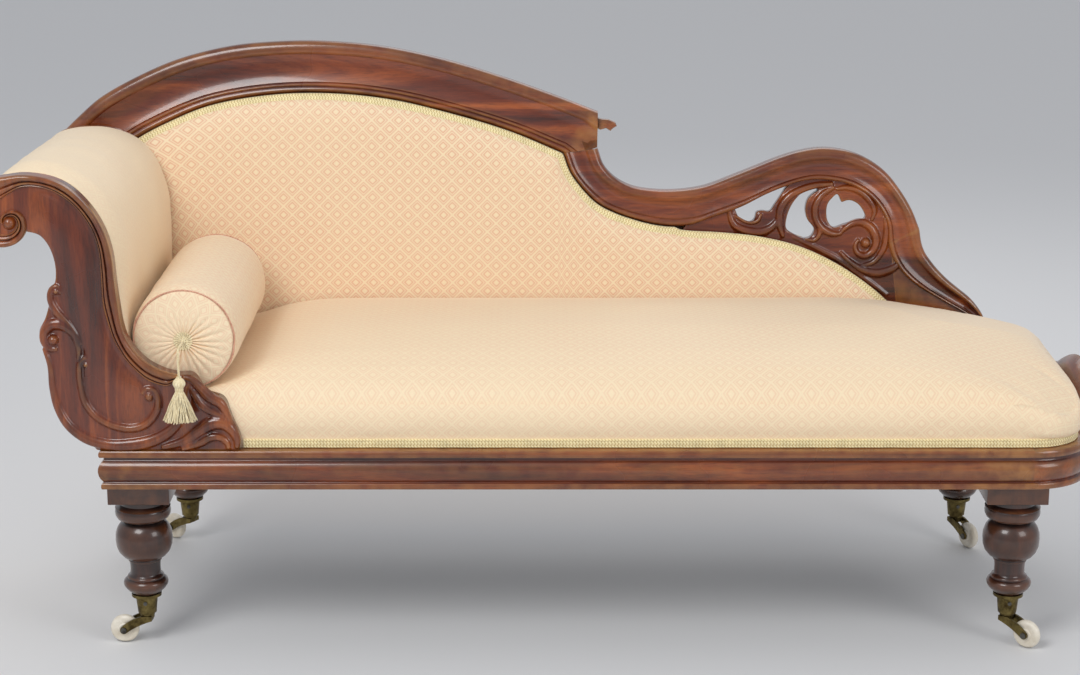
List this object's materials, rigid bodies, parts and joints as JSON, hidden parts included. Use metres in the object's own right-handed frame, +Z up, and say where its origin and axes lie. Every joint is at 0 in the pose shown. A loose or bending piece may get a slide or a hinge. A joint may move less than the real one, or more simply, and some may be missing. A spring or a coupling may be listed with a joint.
{
  "type": "fainting couch",
  "caption": "Scroll-arm fainting couch: show-wood frame on turned legs with castors, shaped part back with pierced carving, sprung seat, padded arm and a loose bolster with tassel.",
  "frame": {"origin": "on the floor under the middle of the couch's bounding box", "axes": "+X along the couch from the scroll arm (head) to the foot, +Y from the front to the back, +Z up"},
  "size_m": [1.856, 0.6903, 0.9391],
  "materials": {
    "mahogany": "glossy french polish",
    "dark_mahogany": "glossy",
    "beech": "raw",
    "brass": "aged",
    "steel": "dull",
    "ceramic": "glazed",
    "damask": "woven trellis",
    "gimp": "woven braid",
    "tassel_silk": "silky",
    "webbing": "twill",
    "hessian": "plain weave",
    "lining": "plain weave"
  },
  "bodies": {
    "root": {"front_rail_moulding": "mahogany", "head_rail_moulding": "mahogany", "foot_rail_moulding": "mahogany", "arm_front_scroll": "mahogany", "arm_carving": "mahogany", "arm_rear_scroll": "mahogany", "back_top_rail": "mahogany", "back_swept_rail": "mahogany", "back_loop_carving": "mahogany", "back_foot_bracket": "mahogany", "foot_crest": "mahogany", "leg_front_head": "dark_mahogany", "leg_front_foot": "dark_mahogany", "leg_back_head": "dark_mahogany", "leg_back_foot": "dark_mahogany", "front_seat_rail": "beech", "back_seat_rail": "beech", "head_seat_rail": "beech", "foot_seat_rail": "beech", "corner_blocks": "beech", "arm_tacking_rails": "beech", "back_upright_head": "beech", "back_upright_mid": "beech", "back_stay_rails": "beech", "back_dowels": "beech", "castor_cup_front_head": "brass", "castor_cup_front_foot": "brass", "castor_cup_back_head": "brass", "castor_cup_back_foot": "brass", "corner_block_screws": "steel", "castor_screws": "steel", "seat_springs": "steel", "seat_pad": "damask", "back_pad": "damask", "arm_pad": "damask", "arm_outside_cover": "damask", "back_outside_cover": "damask", "seat_gimp": "gimp", "back_gimp": "gimp", "arm_gimp": "gimp", "seat_webbing": "webbing", "back_webbing": "webbing", "seat_hessian": "hessian", "seat_dust_cover": "lining"},
    "bolster": {"bolster": "damask", "bolster_rosette_front": "tassel_silk", "bolster_rosette_rear": "tassel_silk"},
    "tassel": {"bolster_tassel": "tassel_silk"},
    "swivel_front_head": {"castor_fork_front_head": "brass", "castor_axle_front_head": "steel"},
    "wheel_front_head": {"castor_wheel_front_head": "ceramic"},
    "swivel_front_foot": {"castor_fork_front_foot": "brass", "castor_axle_front_foot": "steel"},
    "wheel_front_foot": {"castor_wheel_front_foot": "ceramic"},
    "swivel_back_head": {"castor_fork_back_head": "brass", "castor_axle_back_head": "steel"},
    "wheel_back_head": {"castor_wheel_back_head": "ceramic"},
    "swivel_back_foot": {"castor_fork_back_foot": "brass", "castor_axle_back_foot": "steel"},
    "wheel_back_foot": {"castor_wheel_back_foot": "ceramic"}
  },
  "joints": [
    {"name": "castor_swivel_front_head", "type": "hinge", "parent": "root", "child": "swivel_front_head", "pos_m": [-0.679, -0.236, 0.06], "axis": [0, 0, 1], "continuous": true},
    {"name": "wheel_spin_front_head", "type": "hinge", "parent": "swivel_front_head", "child": "wheel_front_head", "pos_m": [-0.71798, -0.23464, 0.0239], "axis": [-0.0349, -0.9994, 0], "continuous": true},
    {"name": "castor_swivel_front_foot", "type": "hinge", "parent": "root", "child": "swivel_front_foot", "pos_m": [0.762, -0.236, 0.06], "axis": [0, 0, 1], "continuous": true},
    {"name": "wheel_spin_front_foot", "type": "hinge", "parent": "swivel_front_foot", "child": "wheel_front_foot", "pos_m": [0.79188, -0.26107, 0.0239], "axis": [0.6428, 0.766, 0], "continuous": true},
    {"name": "castor_swivel_back_head", "type": "hinge", "parent": "root", "child": "swivel_back_head", "pos_m": [-0.679, 0.264, 0.06], "axis": [0, 0, 1], "continuous": true},
    {"name": "wheel_spin_back_head", "type": "hinge", "parent": "swivel_back_head", "child": "wheel_back_head", "pos_m": [-0.71207, 0.28467, 0.0239], "axis": [-0.5299, -0.848, 0], "continuous": true},
    {"name": "castor_swivel_back_foot", "type": "hinge", "parent": "root", "child": "swivel_back_foot", "pos_m": [0.762, 0.264, 0.06], "axis": [0, 0, 1], "continuous": true},
    {"name": "wheel_spin_back_foot", "type": "hinge", "parent": "swivel_back_foot", "child": "wheel_back_foot", "pos_m": [0.78091, 0.22989, 0.0239], "axis": [0.8746, 0.4848, 0], "continuous": true},
    {"name": "bolster_lift", "type": "slide", "parent": "root", "child": "bolster", "axis": [0.6, 0, 0.8], "range_m": [0, 0.6]},
    {"name": "tassel_swing", "type": "hinge", "parent": "bolster", "child": "tassel", "pos_m": [-0.597, -0.31, 0.53], "axis": [0, 1, 0], "range_deg": [-25, 25]}
  ]
}
